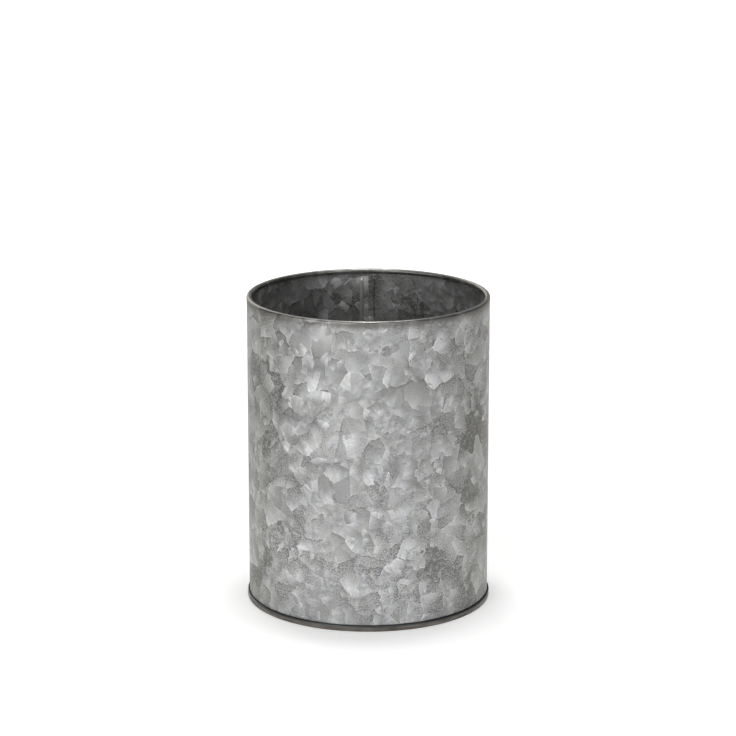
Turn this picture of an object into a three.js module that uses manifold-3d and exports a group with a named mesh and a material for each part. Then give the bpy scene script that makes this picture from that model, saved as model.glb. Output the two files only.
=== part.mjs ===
// Galvanised steel caddy: an open round vessel with a wired rim and a double seamed base.
// Lengths are in millimetres and angles in degrees. +Z is up. The origin lies on the table under
// the middle of the base, and the side seam is at the back, on +Y.
import * as THREE from "three";
import { mergeVertices } from "three/addons/utils/BufferGeometryUtils.js";
import Module from "manifold-3d";

// Overall size
const WALL_DIAMETER = 142; // outside of the wall
const HEIGHT = 183; // table to the top of the rim

// Sheet metal
const WALL_SHEET = 0.3; // thickness of the wall's sheet
const BASE_SHEET = 0.3; // thickness of the base's sheet
const FOLD_GAP = 0.06; // clearance between sheets folded together, and round the wire

// Rolled rim
const WIRE_DIAMETER = 2.4; // stiffening wire inside the roll
const RIM_STAND = 0.2; // how far the roll stands out past the wall
const RIM_EASE = 3; // height over which the wall eases out to the roll

// Base seam
const SEAM_HEIGHT = 3.5; // height of the bead at the foot
const SEAM_CORNER = 0.4; // middle radius of the bead's lower corners
const FLOOR_HEIGHT = 5; // underside of the floor above the table
const FLOOR_CORNER = 1.2; // middle radius where the floor turns down into the seam
const COMPOUND_HEIGHT = 0.6; // sealing compound above the tip of the wall's hook

// Side seam
const SIDE_SEAM_WIDTH = 6; // width over which the sheet's two edges hook into each other
const SIDE_SEAM_GAP = 0.12; // clearance between the hooked layers
const SIDE_SEAM_SET = 0.05; // how far the seam is set in from the face of the wall
const SIDE_SEAM_NOTCH = 1.5; // bare length at each end, where the hooks are notched away
const BUTT_GAP = 0.3; // gap between the two edges where they meet without hooks
const EDGE_LAP = 1; // how far a hooked edge runs on into the wall
const SOLDER_WIDTH = 2.2; // width of the solder fillet along the wall

// Fineness of the round faces
const ROUND_FACETS = 64; // flats round the vessel
const WIRE_FACETS = 12; // flats round the wire
const ROLL_STEP = 20; // widest turn between two points of the rolled rim
const FOLD_STEP = 45; // widest turn between two points of a fold
const WRAP_STEP = 1.5; // longest straight piece of the side seam

// Radii and heights that the pieces share
const wallRadius = WALL_DIAMETER / 2;
const wallMiddle = wallRadius - WALL_SHEET / 2;
const wallInside = wallRadius - WALL_SHEET;
const rollRadius = WIRE_DIAMETER / 2 + FOLD_GAP + WALL_SHEET;
const rollCentreRadius = wallRadius + RIM_STAND - rollRadius;
const rollCentreHeight = HEIGHT - rollRadius;

// The base seam holds five layers. From the inside out they are the pan's neck, the wall, the
// pan's hook, the wall's hook and the pan's outer skirt.
const neckMiddle = wallInside - FOLD_GAP - BASE_SHEET / 2;
const wallHookInside = wallRadius + FOLD_GAP + BASE_SHEET + FOLD_GAP;
const wallHookMiddle = wallHookInside + WALL_SHEET / 2;
const skirtMiddle = wallHookInside + WALL_SHEET + FOLD_GAP + BASE_SHEET / 2;
const wallFoldRadius = (wallHookMiddle - wallMiddle) / 2;
const wallFoldHeight = BASE_SHEET + FOLD_GAP + WALL_SHEET / 2 + wallFoldRadius;
const panFoldRadius = (WALL_SHEET + BASE_SHEET) / 2 + FOLD_GAP;
const panFoldHeight = SEAM_HEIGHT - BASE_SHEET / 2 - panFoldRadius;
const wallHookTip = panFoldHeight - COMPOUND_HEIGHT - FOLD_GAP;

// The side seam runs from just above the floor to just below the rim. Its layers lie one pitch
// apart, and it is set in far enough to lie inside the wall's flats.
const sideSeamBottom = FLOOR_HEIGHT + BASE_SHEET + SIDE_SEAM_NOTCH;
const sideSeamTop = rollCentreHeight - RIM_EASE - SIDE_SEAM_NOTCH;
const sideSeamRadius = wallRadius * Math.cos(Math.PI / ROUND_FACETS) - SIDE_SEAM_SET;
const layerPitch = WALL_SHEET + SIDE_SEAM_GAP;
const hookRadius = layerPitch;
const hookEnd = SIDE_SEAM_WIDTH / 2;
const hookBend = hookEnd - hookRadius;
const joggleRadius = (3 * layerPitch) / 2;
const joggleStart = hookEnd + layerPitch + joggleRadius;
const sideSeamLeft = hookEnd + WALL_SHEET;
const sideSeamDepth = 3 * layerPitch + WALL_SHEET;

const wasm = await Module();
wasm.setup();

// The middle line of a bent strip of sheet, walked in straight runs and round bends.
// A heading of 0 points along +x and one of 90 along +y, and a positive turn goes left.
class SheetWalk {
  constructor(x, y, heading) {
    this.x = x;
    this.y = y;
    this.heading = heading;
    this.points = [];
    this.mark();
  }

  mark() {
    this.points.push({ x: this.x, y: this.y, heading: this.heading });
  }

  step(length, heading) {
    const angle = THREE.MathUtils.degToRad(heading);
    this.x += length * Math.cos(angle);
    this.y += length * Math.sin(angle);
  }

  run(length, longestPiece = length) {
    const pieces = Math.ceil(length / longestPiece);
    for (let piece = 0; piece < pieces; piece += 1) {
      this.step(length / pieces, this.heading);
      this.mark();
    }
    return this;
  }

  bend(radius, turn, widestTurn) {
    const pieces = Math.ceil(Math.abs(turn) / widestTurn);
    const pieceTurn = turn / pieces;
    const chord = 2 * radius * Math.sin(THREE.MathUtils.degToRad(Math.abs(pieceTurn) / 2));
    for (let piece = 0; piece < pieces; piece += 1) {
      this.step(chord, this.heading + pieceTurn / 2);
      this.heading += pieceTurn;
      this.mark();
    }
    return this;
  }

  side(offset) {
    return this.points.map((point) => {
      const angle = THREE.MathUtils.degToRad(point.heading);
      const x = point.x - offset * Math.sin(angle);
      return new THREE.Vector2(x, point.y + offset * Math.cos(angle));
    });
  }

  outline(thickness) {
    return [...this.side(-thickness / 2), ...this.side(thickness / 2).reverse()];
  }
}

// Turns a profile of radius and height into a round solid about the Z axis.
function turned(profile) {
  const upright = THREE.ShapeUtils.isClockWise(profile) ? profile.toReversed() : profile;
  return new THREE.LatheGeometry(upright, ROUND_FACETS).rotateX(Math.PI / 2);
}

function closed(profile) {
  return [...profile, profile[0].clone()];
}

// Wraps an outline of length along the wall and height off its face round the back of the wall.
function wrapped(outline) {
  const points = outline.map((point) => {
    const angle = point.x / sideSeamRadius;
    const radius = sideSeamRadius + point.y;
    return new THREE.Vector2(radius * Math.sin(angle), radius * Math.cos(angle));
  });
  return new THREE.Shape(points);
}

function upright(shape, bottom, top) {
  const options = { depth: top - bottom, bevelEnabled: false };
  return new THREE.ExtrudeGeometry(shape, options).translate(0, 0, bottom);
}

function toSolid(geometry) {
  geometry.deleteAttribute("normal");
  geometry.deleteAttribute("uv");
  const merged = mergeVertices(geometry);
  const mesh = new wasm.Mesh({
    numProp: 3,
    vertProperties: merged.attributes.position.array,
    triVerts: new Uint32Array(merged.index.array),
  });
  return new wasm.Manifold(mesh);
}

function toGeometry(solid) {
  const mesh = solid.getMesh();
  const geometry = new THREE.BufferGeometry();
  geometry.setAttribute("position", new THREE.BufferAttribute(mesh.vertProperties, 3));
  geometry.setIndex(new THREE.BufferAttribute(mesh.triVerts, 1));
  geometry.computeVertexNormals();
  return geometry;
}

// The wall's section: up from its hook in the base seam, out to the rim, and round the wire until
// the sheet's edge all but meets the wall again.
function wallProfile() {
  const easeTurn = 2 * THREE.MathUtils.radToDeg(Math.atan(RIM_STAND / RIM_EASE));
  const easeRadius = RIM_EASE / (2 * Math.sin(THREE.MathUtils.degToRad(easeTurn)));
  const edgeReach = wallInside - FOLD_GAP - rollCentreRadius;
  const rollTurn = 360 - THREE.MathUtils.radToDeg(Math.acos(edgeReach / rollRadius));
  const rollMiddle = rollRadius - WALL_SHEET / 2;
  return new SheetWalk(wallHookMiddle, wallHookTip, -90)
    .run(wallHookTip - wallFoldHeight)
    .bend(wallFoldRadius, -180, FOLD_STEP)
    .run(rollCentreHeight - RIM_EASE - wallFoldHeight)
    .bend(easeRadius, -easeTurn, FOLD_STEP)
    .bend(easeRadius, easeTurn, FOLD_STEP)
    .bend(rollMiddle, 90, ROLL_STEP)
    .bend(rollMiddle, rollTurn - 90, ROLL_STEP)
    .outline(WALL_SHEET);
}

// The edge of the wall that lies on the outside of the side seam and hooks back under itself.
function overEdge() {
  const start = sideSeamLeft + EDGE_LAP;
  return new SheetWalk(-start, -WALL_SHEET / 2, 0)
    .run(start + hookBend, WRAP_STEP)
    .bend(hookRadius, -180, FOLD_STEP)
    .run(2 * hookBend, WRAP_STEP)
    .outline(WALL_SHEET);
}

// The other edge, which steps in under that hook and turns back out into it.
function underEdge() {
  return new SheetWalk(joggleStart + EDGE_LAP, -WALL_SHEET / 2, 180)
    .run(EDGE_LAP)
    .bend(joggleRadius, 90, FOLD_STEP)
    .bend(joggleRadius, -90, FOLD_STEP)
    .run(joggleStart - 2 * joggleRadius + hookBend, WRAP_STEP)
    .bend(hookRadius, -180, FOLD_STEP)
    .run(2 * hookBend, WRAP_STEP)
    .outline(WALL_SHEET);
}

// A block through the back of the wall, from one place along the wall to another.
function backCut(left, right, bottom, top) {
  const inside = wallRadius - 3 * rollRadius;
  const outside = wallRadius + 2 * rollRadius;
  const block = new THREE.BoxGeometry(right - left, outside - inside, top - bottom);
  return block.translate((left + right) / 2, (inside + outside) / 2, (bottom + top) / 2);
}

function wallGeometry() {
  const buttLeft = hookEnd + layerPitch / 2 - BUTT_GAP / 2;
  const butt = backCut(buttLeft, buttLeft + BUTT_GAP, 0, HEIGHT + rollRadius);
  const seamRoom = backCut(-sideSeamLeft, joggleStart, sideSeamBottom, sideSeamTop);
  const edgeBottom = sideSeamBottom - EDGE_LAP;
  const edgeTop = sideSeamTop + EDGE_LAP;
  const solid = toSolid(turned(closed(wallProfile())))
    .subtract(toSolid(butt))
    .subtract(toSolid(seamRoom))
    .add(toSolid(upright(wrapped(overEdge()), edgeBottom, edgeTop)))
    .add(toSolid(upright(wrapped(underEdge()), edgeBottom, edgeTop)));
  return toGeometry(solid);
}

// The pan's section: the floor, down its neck inside the wall, out under the wall and up its outer
// skirt, and over the wall's hook and down inside it.
function panProfile() {
  const seamWidth = skirtMiddle - neckMiddle;
  const corner = Math.min(SEAM_CORNER, seamWidth / 2);
  const floorMiddle = FLOOR_HEIGHT + BASE_SHEET / 2;
  const footMiddle = BASE_SHEET / 2;
  return new SheetWalk(0, floorMiddle, 0)
    .run(neckMiddle - FLOOR_CORNER)
    .bend(FLOOR_CORNER, -90, FOLD_STEP)
    .run(floorMiddle - FLOOR_CORNER - corner - footMiddle)
    .bend(corner, 90, FOLD_STEP)
    .run(seamWidth - 2 * corner)
    .bend(corner, 90, FOLD_STEP)
    .run(panFoldHeight - corner - footMiddle)
    .bend(panFoldRadius, 180, FOLD_STEP)
    .run(panFoldHeight - wallFoldHeight - FOLD_GAP)
    .outline(BASE_SHEET);
}

// A ring that fills the pan's fold above the tip of the wall's hook.
function compoundProfile() {
  const outside = wallHookInside + WALL_SHEET;
  const bottom = panFoldHeight - COMPOUND_HEIGHT;
  return [
    new THREE.Vector2(wallHookInside, bottom),
    new THREE.Vector2(outside, bottom),
    new THREE.Vector2(outside, panFoldHeight),
    new THREE.Vector2(wallHookInside, panFoldHeight),
  ];
}

function wireProfile() {
  const circle = new THREE.EllipseCurve(rollCentreRadius, 0, WIRE_DIAMETER / 2, WIRE_DIAMETER / 2);
  return circle.getPoints(WIRE_FACETS).slice(0, WIRE_FACETS);
}

// A three cornered fillet in the angle between the wall and the turned back edge of the seam.
function solderOutline() {
  const heel = -(hookEnd + WALL_SHEET / 2 + SIDE_SEAM_GAP);
  const face = -(WALL_SHEET + SIDE_SEAM_GAP);
  return [
    new THREE.Vector2(heel, face),
    new THREE.Vector2(heel - SOLDER_WIDTH, face),
    new THREE.Vector2(heel, -sideSeamDepth),
  ];
}

function part(name, geometry, colour, roughness, metalness) {
  const material = new THREE.MeshStandardMaterial({ color: colour, roughness, metalness });
  const mesh = new THREE.Mesh(geometry, material);
  mesh.name = name;
  return mesh;
}

const wallSheet = part("wall_sheet", wallGeometry(), 0xa8a9aa, 0.5, 0.8);

const rimWire = part("rim_wire", turned(closed(wireProfile())), 0x8d8f91, 0.4, 0.9);
rimWire.position.z = rollCentreHeight;

const solderGeometry = upright(wrapped(solderOutline()), 0, sideSeamTop - sideSeamBottom);
const sideSeamSolder = part("side_seam_solder", solderGeometry, 0xb4b5b3, 0.35, 0.9);
sideSeamSolder.position.z = sideSeamBottom;

const basePan = part("base_pan", turned(panProfile()), 0x5c5a57, 0.5, 0.8);

const compoundGeometry = turned(closed(compoundProfile()));
const baseSeamCompound = part("base_seam_compound", compoundGeometry, 0x3a3a3a, 0.8, 0);

const body = new THREE.Group();
body.add(wallSheet, rimWire, sideSeamSolder);

const base = new THREE.Group();
base.add(basePan, baseSeamCompound);

const caddy = new THREE.Group();
caddy.add(body, base);

export default caddy;
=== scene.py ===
"""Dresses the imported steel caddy: its folded sheets, seams and finishes, the floor, light and camera.

Lengths are in metres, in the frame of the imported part: +Z is up, the origin lies on the table under
the middle of the base, and the side seam is at the back, on +Y.
"""

import logging
import math
from collections.abc import Sequence
from dataclasses import dataclass
from dataclasses import field
from enum import Enum
from typing import ClassVar

import bpy
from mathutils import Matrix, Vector


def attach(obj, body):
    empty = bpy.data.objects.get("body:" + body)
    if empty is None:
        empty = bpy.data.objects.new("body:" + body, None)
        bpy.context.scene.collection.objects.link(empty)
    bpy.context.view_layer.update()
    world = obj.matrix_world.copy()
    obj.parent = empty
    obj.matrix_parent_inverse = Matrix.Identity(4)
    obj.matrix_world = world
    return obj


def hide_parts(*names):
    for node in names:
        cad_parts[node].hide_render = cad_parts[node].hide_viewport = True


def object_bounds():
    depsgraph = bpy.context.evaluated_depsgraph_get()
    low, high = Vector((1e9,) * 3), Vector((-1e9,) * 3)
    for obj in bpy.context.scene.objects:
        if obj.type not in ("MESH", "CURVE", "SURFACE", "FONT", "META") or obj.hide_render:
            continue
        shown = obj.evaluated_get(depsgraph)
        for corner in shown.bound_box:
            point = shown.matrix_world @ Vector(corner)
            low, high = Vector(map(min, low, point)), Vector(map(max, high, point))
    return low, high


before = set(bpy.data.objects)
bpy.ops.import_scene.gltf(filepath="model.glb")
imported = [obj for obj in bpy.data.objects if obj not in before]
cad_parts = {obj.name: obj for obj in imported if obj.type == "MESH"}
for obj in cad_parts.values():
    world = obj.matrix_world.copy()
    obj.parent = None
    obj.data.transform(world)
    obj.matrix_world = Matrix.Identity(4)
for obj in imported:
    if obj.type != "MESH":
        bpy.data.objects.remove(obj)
cad_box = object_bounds()

log = logging.getLogger("caddy")

Spot = tuple[float, float]
Triple = tuple[float, float, float]
Colour = tuple[float, float, float, float]
Piece = bpy.types.Object
Socket = bpy.types.NodeSocket
Source = Socket | float | tuple[float, ...]

MM = 0.001
FULL_TURN = 2 * math.pi
QUARTER_TURN = math.pi / 2
ORIGIN = (0.0, 0.0, 0.0)
UP = (0.0, 0.0, 1.0)
FLAT = (1.0, 1.0, 0.0)
SEED_SIZE = 0.01
BODY = "root"


class Slot(Enum):
    """Material slots of the record, for the pieces that are modelled here."""

    WALL = "galvanised_sheet"
    BASE = "base_sheet"
    SOLDER = "solder"


class Step(Enum):
    """Operations of a maths node."""

    ADD = "ADD"
    SUBTRACT = "SUBTRACT"
    MULTIPLY = "MULTIPLY"
    ABSOLUTE = "ABSOLUTE"
    LESS = "LESS_THAN"
    MAXIMUM = "MAXIMUM"
    ANGLE = "ARCTAN2"
    COSINE = "COSINE"


class VectorStep(Enum):
    """Operations of a vector maths node."""

    ADD = "ADD"
    SUBTRACT = "SUBTRACT"
    MULTIPLY = "MULTIPLY"
    SCALE = "SCALE"
    NORMALIZE = "NORMALIZE"
    CROSS = "CROSS_PRODUCT"
    DOT = "DOT_PRODUCT"
    LENGTH = "LENGTH"


class Ease(Enum):
    """How a mapped range runs between its ends."""

    STRAIGHT = "LINEAR"
    SMOOTH = "SMOOTHSTEP"


class Mixture(Enum):
    """What a mix node mixes, with the place of its first input and of its output on the node."""

    NUMBER = ("FLOAT", 2, 0)
    VECTOR = ("VECTOR", 4, 1)
    COLOUR = ("RGBA", 6, 2)


class CellMeasure(Enum):
    """What a pattern of cells measures."""

    NEAREST = "F1"
    EDGE = "DISTANCE_TO_EDGE"


class SocketKind(Enum):
    """Sorts of socket that a node group has."""

    NUMBER = "NodeSocketFloat"
    VECTOR = "NodeSocketVector"


class Modifier(Enum):
    """Modifiers that finish a mesh."""

    THICKNESS = "SOLIDIFY"
    ROUNDING = "SUBSURF"
    RIPPLE = "DISPLACE"


@dataclass
class SheetWalk:
    """Walks the middle line of a bent sheet in one plane and keeps the places it passes.

    A heading of 0 points along the first axis, a quarter turn along the second, and a positive turn
    goes left.
    """

    spot: Spot
    heading: float
    spots: list[Spot] = field(default_factory=list)

    def __post_init__(self) -> None:
        """Keeps the first place."""
        self.spots.append(self.spot)

    def step(self, length: float, heading: float) -> None:
        """Moves straight on and keeps the new place.

        Args:
            length: Length of the move.
            heading: Direction of the move.
        """
        across = self.spot[0] + length * math.cos(heading)
        along = self.spot[1] + length * math.sin(heading)
        self.spot = (across, along)
        self.spots.append(self.spot)

    def run(self, length: float, longest: float = math.inf) -> None:
        """Walks a straight run, in equal pieces.

        Args:
            length: Length of the run.
            longest: Longest piece of it.
        """
        pieces = max(1, math.ceil(length / longest))
        for _ in range(pieces):
            self.step(length / pieces, self.heading)

    def bend(self, radius: float, turn: float, widest: float) -> None:
        """Walks round a bend, in equal pieces.

        Args:
            radius: Radius of the bend.
            turn: Angle of the bend, positive to the left.
            widest: Widest turn between two places.
        """
        pieces = math.ceil(abs(turn) / widest)
        piece_turn = turn / pieces
        chord = 2 * radius * math.sin(abs(piece_turn) / 2)
        for _ in range(pieces):
            self.step(chord, self.heading + piece_turn / 2)
            self.heading += piece_turn


class Bench:
    """Modelling moves that the pieces share, made with Blender's own operators."""

    @staticmethod
    def begin(name: str, start: Vector) -> Piece:
        """Adds a small plane and merges it to the one vertex that a chain grows from.

        Args:
            name: Name of the new piece.
            start: Place of the vertex.

        Returns:
            The new piece, in edit mode with the vertex selected.
        """
        bpy.ops.object.select_all(action="DESELECT")
        bpy.ops.mesh.primitive_plane_add(size=SEED_SIZE)
        piece = bpy.context.object
        piece.name = name
        piece.data.name = name
        bpy.ops.object.mode_set(mode="EDIT")
        bpy.ops.mesh.select_all(action="SELECT")
        bpy.ops.mesh.merge(type="CENTER")
        bpy.ops.transform.translate(value=start)
        return piece

    @staticmethod
    def extrude_along(places: Sequence[Vector]) -> None:
        """Extrudes what is selected, which is at the first place, through each of the others."""
        for here, there in zip(places, places[1:]):
            bpy.ops.mesh.extrude_region_move(TRANSFORM_OT_translate={"value": there - here})

    @staticmethod
    def spin(angle: float, steps: int) -> None:
        """Spins the whole mesh about the Z axis, clockwise seen from above."""
        bpy.ops.mesh.select_all(action="SELECT")
        bpy.ops.mesh.spin(steps=steps, angle=angle, center=ORIGIN, axis=UP)

    @staticmethod
    def close() -> None:
        """Leaves edit mode."""
        bpy.ops.object.mode_set(mode="OBJECT")

    @staticmethod
    def activate(piece: Piece) -> None:
        """Selects one piece alone and makes it the active one.

        Args:
            piece: The piece.
        """
        bpy.ops.object.select_all(action="DESELECT")
        piece.select_set(True)
        bpy.context.view_layer.objects.active = piece

    @staticmethod
    def join(main_piece: Piece, others: Sequence[Piece]) -> None:
        """Joins other pieces into the main one.

        Args:
            main_piece: Piece that keeps its name.
            others: Pieces that go into it.
        """
        Bench.activate(main_piece)
        for other in others:
            other.select_set(True)
        bpy.ops.object.join()

    @staticmethod
    def weld(piece: Piece, distance: float) -> None:
        """Merges vertices that lie together and turns the faces one way.

        Args:
            piece: Piece to weld.
            distance: Widest gap that is closed.
        """
        Bench.activate(piece)
        bpy.ops.object.mode_set(mode="EDIT")
        bpy.ops.mesh.select_all(action="SELECT")
        bpy.ops.mesh.remove_doubles(threshold=distance)
        bpy.ops.mesh.normals_make_consistent(inside=False)
        Bench.close()

    @staticmethod
    def modify(piece: Piece, modifier: Modifier, **settings: object) -> None:
        """Adds a modifier to a piece and applies it.

        Args:
            piece: The piece.
            modifier: Which modifier it is.
            settings: Settings of the modifier.
        """
        Bench.activate(piece)
        bpy.ops.object.modifier_add(type=modifier.value)
        added = piece.modifiers[-1]
        for name, setting in settings.items():
            setattr(added, name, setting)
        bpy.ops.object.modifier_apply(modifier=added.name)

    @staticmethod
    def thicken(piece: Piece, thickness: float) -> None:
        """Gives a sheet its thickness, half to each side of its middle."""
        Bench.modify(piece, Modifier.THICKNESS, thickness=thickness, offset=0, use_even_offset=True)

    @staticmethod
    def smooth(piece: Piece, angle: float) -> None:
        """Shades a piece smooth across edges flatter than an angle."""
        Bench.activate(piece)
        bpy.ops.object.shade_smooth_by_angle(angle=angle)


@dataclass(frozen=True)
class CaddySizes:
    """Driving sizes of the folded sheets, and the places that follow from them."""

    height: float
    wall_radius: float = 71 * MM
    wall_sheet: float = 0.3 * MM
    base_sheet: float = 0.3 * MM
    fold_gap: float = 0.06 * MM
    wire_diameter: float = 2.4 * MM
    rim_stand: float = 0.2 * MM
    rim_ease: float = 3 * MM
    seam_height: float = 3.5 * MM
    seam_corner: float = 0.4 * MM
    floor_height: float = 5 * MM
    floor_corner: float = 1.2 * MM
    compound_height: float = 0.6 * MM
    side_seam_width: float = 6 * MM
    side_seam_gap: float = 0.12 * MM
    side_seam_notch: float = 1.5 * MM
    butt_gap: float = 0.04 * MM
    solder_width: float = 2.2 * MM

    @property
    def wall_middle(self) -> float:
        """Radius of the middle of the wall's sheet."""
        return self.wall_radius - self.wall_sheet / 2

    @property
    def wall_inside(self) -> float:
        """Radius of the wall's inner face."""
        return self.wall_radius - self.wall_sheet

    @property
    def roll_radius(self) -> float:
        """Outer radius of the rolled rim's section."""
        return self.wire_diameter / 2 + self.fold_gap + self.wall_sheet

    @property
    def roll_centre_radius(self) -> float:
        """Distance of the roll's middle from the axis."""
        return self.wall_radius + self.rim_stand - self.roll_radius

    @property
    def roll_centre_height(self) -> float:
        """Height of the roll's middle."""
        return self.height - self.roll_radius

    @property
    def neck_middle(self) -> float:
        """Radius of the pan's neck, inside the wall."""
        return self.wall_inside - self.fold_gap - self.base_sheet / 2

    @property
    def wall_hook_middle(self) -> float:
        """Radius of the wall's hook in the base seam."""
        return self.wall_radius + 2 * self.fold_gap + self.base_sheet + self.wall_sheet / 2

    @property
    def skirt_middle(self) -> float:
        """Radius of the pan's outer skirt."""
        return self.wall_hook_middle + self.wall_sheet / 2 + self.fold_gap + self.base_sheet / 2

    @property
    def wall_fold_radius(self) -> float:
        """Radius of the fold at the wall's foot."""
        return (self.wall_hook_middle - self.wall_middle) / 2

    @property
    def wall_fold_height(self) -> float:
        """Height of that fold's middle."""
        return self.base_sheet + self.fold_gap + self.wall_sheet / 2 + self.wall_fold_radius

    @property
    def pan_fold_radius(self) -> float:
        """Radius of the fold at the top of the pan's skirt."""
        return (self.wall_sheet + self.base_sheet) / 2 + self.fold_gap

    @property
    def pan_fold_height(self) -> float:
        """Height of that fold's middle."""
        return self.seam_height - self.base_sheet / 2 - self.pan_fold_radius

    @property
    def wall_hook_tip(self) -> float:
        """Height of the tip of the wall's hook."""
        return self.pan_fold_height - self.compound_height - self.fold_gap

    @property
    def side_seam_bottom(self) -> float:
        """Lower end of the side seam."""
        return self.floor_height + self.base_sheet + self.side_seam_notch

    @property
    def side_seam_top(self) -> float:
        """Upper end of the side seam."""
        return self.roll_centre_height - self.rim_ease - self.side_seam_notch

    @property
    def layer_pitch(self) -> float:
        """Distance from one layer of the side seam to the next."""
        return self.wall_sheet + self.side_seam_gap

    @property
    def hook_bend(self) -> float:
        """Place along the wall where the side seam's hooks begin to bend."""
        return self.side_seam_width / 2 - self.layer_pitch

    @property
    def joggle_radius(self) -> float:
        """Radius of the two bends that step the under edge inwards."""
        return 3 * self.layer_pitch / 2

    @property
    def side_seam_right(self) -> float:
        """Place along the wall where the under edge begins to step inwards."""
        return self.side_seam_width / 2 + self.layer_pitch + self.joggle_radius

    @property
    def side_seam_left(self) -> float:
        """Place along the wall, to the left, where the over edge begins."""
        return self.side_seam_width / 2 + self.wall_sheet

    def place(self, along: float, radius: float, height: float) -> Vector:
        """Gives a place from its distance along the wall from the side seam, radius and height."""
        angle = along / self.wall_middle
        return Vector((radius * math.sin(angle), radius * math.cos(angle), height))


@dataclass(frozen=True)
class Cloud:
    """A cloudy noise: its size, its finer layers, and the levels between which it is spread."""

    size: float
    detail: float = 2.0
    rough: float = 0.5
    low: float = 0.3
    high: float = 0.7


class NodeSketch:
    """Draws nodes into one tree and links them."""

    COLUMN = 180

    def __init__(self, tree: bpy.types.NodeTree) -> None:
        """Keeps the tree that is drawn into."""
        self.tree = tree

    def node(self, kind: str, **options: object) -> bpy.types.Node:
        """Adds a node to the right of the others.

        Args:
            kind: Blender's name for the node, without its common beginning.
            options: Settings of the node.

        Returns:
            The node.
        """
        node = self.tree.nodes.new("ShaderNode" + kind)
        node.location.x = len(self.tree.nodes) * self.COLUMN
        for name, option in options.items():
            setattr(node, name, option)
        return node

    def feed(self, socket: Socket, source: Source) -> None:
        """Links a socket to a source, or sets it where the source is a number or colour.

        Args:
            socket: Socket that is fed.
            source: Socket, number, vector or colour.
        """
        if isinstance(source, Socket):
            self.tree.links.new(source, socket)
        else:
            socket.default_value = source

    def split(self, vector: Source) -> tuple[Socket, ...]:
        """Takes a vector apart.

        Args:
            vector: The vector.

        Returns:
            Its three numbers.
        """
        node = self.node("SeparateXYZ")
        self.feed(node.inputs[0], vector)
        return tuple(node.outputs)

    def combine(self, *numbers: Source) -> Socket:
        """Makes a vector.

        Args:
            numbers: Its numbers, from the first on.

        Returns:
            The vector.
        """
        node = self.node("CombineXYZ")
        for socket, number in zip(node.inputs, numbers):
            self.feed(socket, number)
        return node.outputs[0]

    def maths(self, step: Step, first: Source, second: Source = 0.0) -> Socket:
        """Works on one or two numbers.

        Args:
            step: What is done.
            first: First number.
            second: Second number.

        Returns:
            The result.
        """
        node = self.node("Math", operation=step.value)
        self.feed(node.inputs[0], first)
        self.feed(node.inputs[1], second)
        return node.outputs[0]

    def product(self, first: Source, *others: Source) -> Source:
        """Multiplies numbers.

        Args:
            first: First number.
            others: The numbers it is multiplied by, one after the other.

        Returns:
            The product.
        """
        for other in others:
            first = self.maths(Step.MULTIPLY, first, other)
        return first

    def vector(self, step: VectorStep, first: Source, second: Source = ORIGIN) -> Socket:
        """Works on one or two vectors.

        Args:
            step: What is done.
            first: First vector.
            second: Second vector, or the number that scales the first.

        Returns:
            The result, a number where the step gives one.
        """
        node = self.node("VectorMath", operation=step.value)
        self.feed(node.inputs[0], first)
        self.feed(node.inputs["Scale" if step is VectorStep.SCALE else 1], second)
        gives_number = step in (VectorStep.DOT, VectorStep.LENGTH)
        return node.outputs["Value" if gives_number else "Vector"]

    def spread(
        self,
        value: Source,
        low: float,
        high: float,
        new_low: Source = 0.0,
        new_high: Source = 1.0,
        ease: Ease = Ease.SMOOTH,
    ) -> Socket:
        """Maps a range of numbers to another, and stops at its ends.

        Args:
            value: Number that is mapped.
            low: Value that gives new_low.
            high: Value that gives new_high.
            new_low: Result at the low end.
            new_high: Result at the high end.
            ease: How the result runs between them.

        Returns:
            The result.
        """
        node = self.node("MapRange", interpolation_type=ease.value, clamp=True)
        for socket, source in zip(node.inputs, (value, low, high, new_low, new_high)):
            self.feed(socket, source)
        return node.outputs[0]

    def noise(self, place: Source, cloud: Cloud, fourth: Source | None = None) -> bpy.types.Node:
        """Adds a cloudy noise.

        Args:
            place: Place in the noise.
            cloud: Size and layers of the noise.
            fourth: Fourth number of the place, where it has one.

        Returns:
            The node.
        """
        node = self.node("TexNoise", noise_dimensions="3D" if fourth is None else "4D")
        if fourth is not None:
            self.feed(node.inputs["W"], fourth)
        self.feed(node.inputs["Vector"], place)
        self.feed(node.inputs["Scale"], 1 / cloud.size)
        self.feed(node.inputs["Detail"], cloud.detail)
        self.feed(node.inputs["Roughness"], cloud.rough)
        return node

    def clouds(
        self,
        place: Source,
        cloud: Cloud,
        new_low: float = 0.0,
        new_high: float = 1.0,
        ease: Ease = Ease.SMOOTH,
        fourth: Source | None = None,
    ) -> Socket:
        """Adds a cloudy noise and spreads it from its own two levels to two new numbers."""
        level = self.noise(place, cloud, fourth).outputs["Fac"]
        return self.spread(level, cloud.low, cloud.high, new_low, new_high, ease)

    def mix(self, mixture: Mixture, share: Source, first: Source, second: Source) -> Socket:
        """Mixes two numbers, vectors or colours.

        Args:
            mixture: What is mixed.
            share: Share of the second.
            first: What shows where the share is 0.
            second: What shows where it is 1.

        Returns:
            The mixture.
        """
        kind, entry, result = mixture.value
        node = self.node("Mix", data_type=kind)
        self.feed(node.inputs[0], share)
        self.feed(node.inputs[entry], first)
        self.feed(node.inputs[entry + 1], second)
        return node.outputs[result]

    def cells(self, place: Source, measure: CellMeasure) -> bpy.types.Node:
        """Adds a flat pattern of cells, one to the unit of the place.

        Args:
            place: Place in the pattern.
            measure: What the pattern measures.

        Returns:
            The node.
        """
        node = self.node("TexVoronoi", feature=measure.value, voronoi_dimensions="2D")
        self.feed(node.inputs["Scale"], 1.0)
        self.feed(node.inputs["Vector"], place)
        return node


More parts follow.
